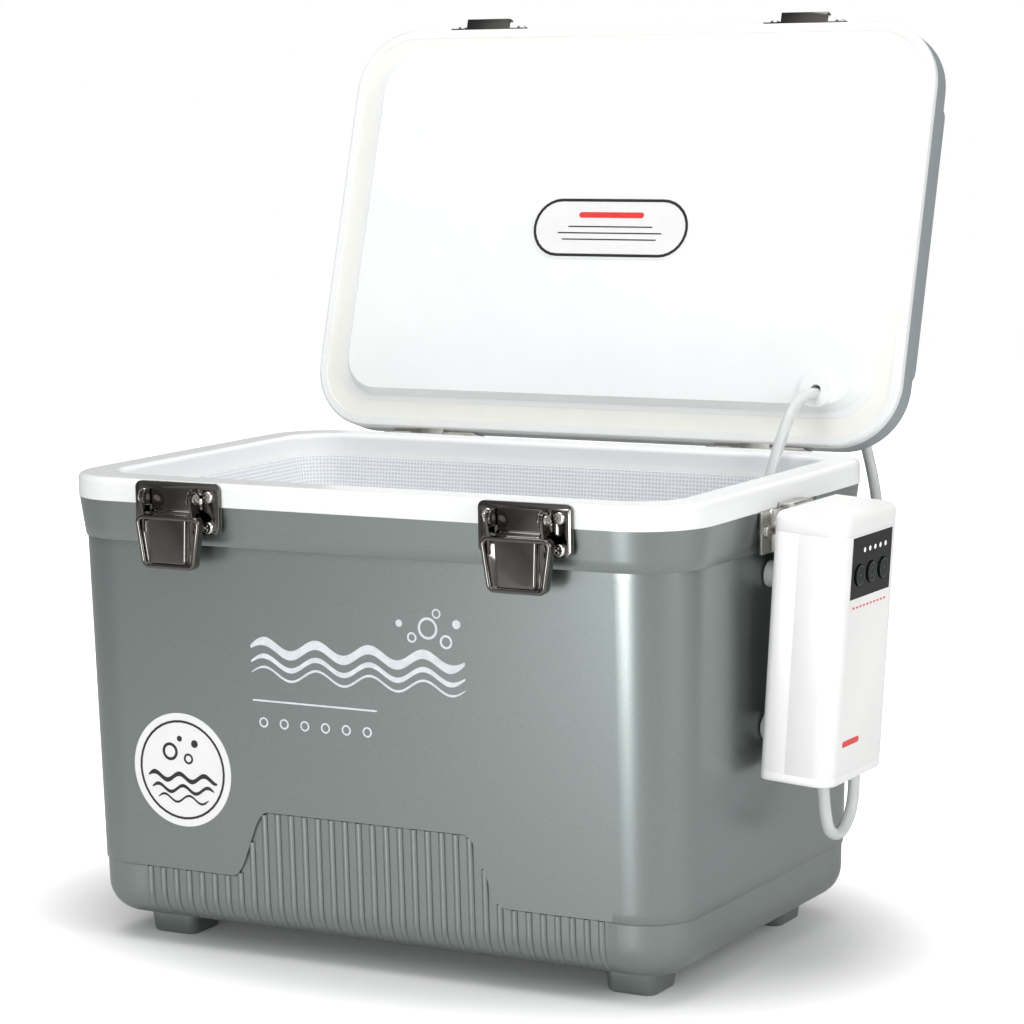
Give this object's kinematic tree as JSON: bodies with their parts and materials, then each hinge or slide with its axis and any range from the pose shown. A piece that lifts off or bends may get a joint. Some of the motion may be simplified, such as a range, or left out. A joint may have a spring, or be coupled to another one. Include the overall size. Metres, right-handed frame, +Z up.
{
  "type": "aerated bait bucket",
  "caption": "Insulated bait box with a hinged lid, a mesh bait net and a clip-on battery air pump whose tube runs through the lid to an air stone.",
  "frame": {"origin": "on the floor, below the centre of the tub", "axes": "+X to the pump side, -Y to the latch side, +Z up"},
  "size_m": [0.4047, 0.3515, 0.4693],
  "materials": {
    "shell_grey": "satin metallic grey moulding",
    "foam": "pale rigid foam",
    "white_liner": "glossy white moulding",
    "net": "fine white mesh",
    "sticker": "printed film",
    "latch_steel": "polished stainless sheet",
    "bright_steel": "bright stainless",
    "slate_shell": "satin slate moulding",
    "cream_gasket": "soft cream seal",
    "white_rubber": "soft white rubber",
    "pump_white": "satin light grey housing",
    "panel_black": "glossy black",
    "button_black": "soft black",
    "light_clear": "clear light guide",
    "board_green": "circuit board",
    "cell_blue": "cell sleeve",
    "tube_clear": "translucent silicone",
    "stone_blue": "porous bonded grit"
  },
  "bodies": {
    "tub": {"air_motor": "bright_steel", "air_stone": "stone_blue", "air_tube_outer": "tube_clear", "bait_net": "net", "battery_cells": "cell_blue", "battery_holder": "pump_white", "charge_socket": "panel_black", "circuit_board": "board_green", "control_panel": "panel_black", "diaphragm": "white_rubber", "front_sticker": "sticker", "hinge_leaves_tub": "bright_steel", "hinge_pins": "bright_steel", "hinge_screws_tub": "bright_steel", "inner_hose": "tube_clear", "inner_liner": "white_liner", "latch_plate_left": "latch_steel", "latch_plate_right": "latch_steel", "latch_screws": "bright_steel", "lever_rivets": "bright_steel", "net_frame": "white_liner", "outer_shell": "shell_grey", "outlet_fitting": "pump_white", "pump_bottom_cap": "pump_white", "pump_bumpers": "white_rubber", "pump_case_back": "pump_white", "pump_case_front": "pump_white", "pump_case_screws": "bright_steel", "pump_hanger": "pump_white", "pump_head": "pump_white", "pump_top_cap": "pump_white", "status_lights": "light_clear", "strap_bracket_left": "bright_steel", "strap_bracket_right": "bright_steel", "strap_screws": "bright_steel", "tub_insulation": "foam"},
    "lid": {"lid_outer_shell": "slate_shell", "lid_insulation": "foam", "lid_inner_panel": "white_liner", "lid_gasket": "cream_gasket", "lid_label": "sticker", "tube_grommet": "white_rubber", "hinge_leaves_lid": "bright_steel", "hinge_screws_lid": "bright_steel", "strike_left": "latch_steel", "strike_right": "latch_steel", "strike_screws": "bright_steel", "air_tube_inner": "tube_clear"},
    "lever_left": {"latch_lever_left": "latch_steel", "claw_pin_left": "bright_steel"},
    "lever_right": {"latch_lever_right": "latch_steel", "claw_pin_right": "bright_steel"},
    "claw_left": {"latch_claw_left": "latch_steel"},
    "claw_right": {"latch_claw_right": "latch_steel"},
    "power_button_a": {"button_1": "button_black"},
    "power_button_b": {"button_2": "button_black"},
    "power_button_c": {"button_3": "button_black"},
    "rotor": {"motor_rotor": "bright_steel"},
    "charge_cover": {"charge_cover": "white_rubber"}
  },
  "joints": [
    {"name": "lid_hinge", "type": "hinge", "parent": "tub", "child": "lid", "pos_m": [0, 0.12395, 0.23673], "axis": [-1, 0, 0], "range_deg": [-107, 0], "deforming": ["air_tube_outer", "air_tube_inner"]},
    {"name": "latch_lever_left", "type": "hinge", "parent": "tub", "child": "lever_left", "pos_m": [-0.098, -0.1286, 0.234], "axis": [-1, 0, 0], "range_deg": [0, 100]},
    {"name": "latch_claw_left", "type": "hinge", "parent": "lever_left", "child": "claw_left", "pos_m": [-0.098, -0.1261, 0.2255], "axis": [-1, 0, 0], "range_deg": [-100, 0]},
    {"name": "latch_lever_right", "type": "hinge", "parent": "tub", "child": "lever_right", "pos_m": [0.098, -0.1286, 0.234], "axis": [-1, 0, 0], "range_deg": [0, 100]},
    {"name": "latch_claw_right", "type": "hinge", "parent": "lever_right", "child": "claw_right", "pos_m": [0.098, -0.1261, 0.2255], "axis": [-1, 0, 0], "range_deg": [-100, 0]},
    {"name": "button_a", "type": "slide", "parent": "tub", "child": "power_button_a", "axis": [-0.9976, 0, 0.0698], "range_m": [0, 0.0005], "stiffness_N_per_m": 400},
    {"name": "button_b", "type": "slide", "parent": "tub", "child": "power_button_b", "axis": [-0.9976, 0, 0.0698], "range_m": [0, 0.0005], "stiffness_N_per_m": 400},
    {"name": "button_c", "type": "slide", "parent": "tub", "child": "power_button_c", "axis": [-0.9976, 0, 0.0698], "range_m": [0, 0.0005], "stiffness_N_per_m": 400},
    {"name": "motor_spin", "type": "hinge", "parent": "tub", "child": "rotor", "pos_m": [0.19888, 0, 0.19042], "axis": [0, 1, 0], "continuous": true},
    {"name": "charge_cover_hinge", "type": "hinge", "parent": "tub", "child": "charge_cover", "pos_m": [0.19576, -0.0231, 0.09701], "axis": [-0.9976, 0, 0.0698], "range_deg": [0, 100]}
  ],
  "couplings": [
    {"joint": "latch_claw_left", "follows": "latch_lever_left", "ratio": -1},
    {"joint": "latch_claw_right", "follows": "latch_lever_right", "ratio": -1}
  ]
}
